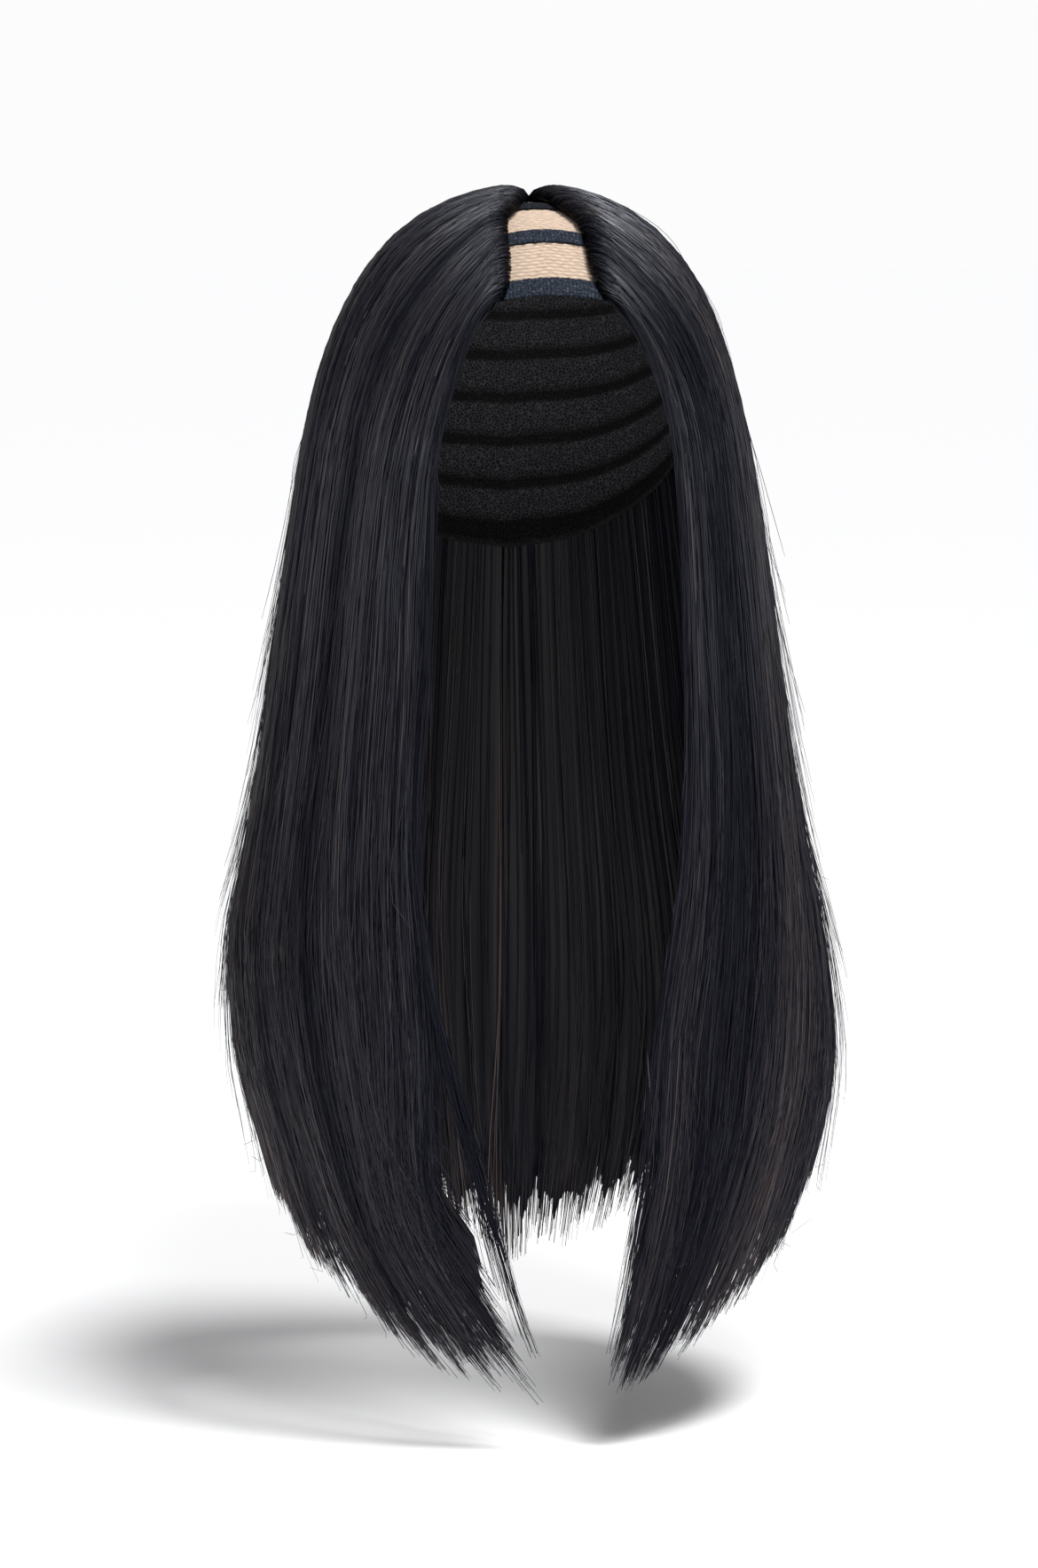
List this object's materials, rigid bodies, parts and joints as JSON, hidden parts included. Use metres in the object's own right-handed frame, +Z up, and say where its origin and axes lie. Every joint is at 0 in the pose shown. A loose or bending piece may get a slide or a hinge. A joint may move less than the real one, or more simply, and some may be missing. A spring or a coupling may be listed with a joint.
{
  "type": "half wig",
  "caption": "Long straight half wig on a stretch lace cap, with a U-shaped opening at the parting crossed by elastic bands over ribbed knit.",
  "frame": {"origin": "top of the head that wears it, which is the inner side of the cap's crown, on the middle plane; the wig is held up by the head at this point", "axes": "+Z up, the face towards -Y, the wearer's right side towards -X and left side towards +X; metres"},
  "size_m": [0.2722, 0.203, 0.527],
  "materials": {
    "black_lace": "matt stretch lace",
    "nude_knit": "matt wavy-ribbed knit",
    "navy_elastic": "matt knitted elastic",
    "black_hair": "smooth hair with a soft sheen"
  },
  "bodies": {
    "root": {"cap": "black_lace", "part_panel": "nude_knit", "front_band": "navy_elastic", "middle_band": "navy_elastic", "rear_band": "navy_elastic", "hair_left": "black_hair", "hair_right": "black_hair", "hair_back": "black_hair"}
  },
  "joints": []
}
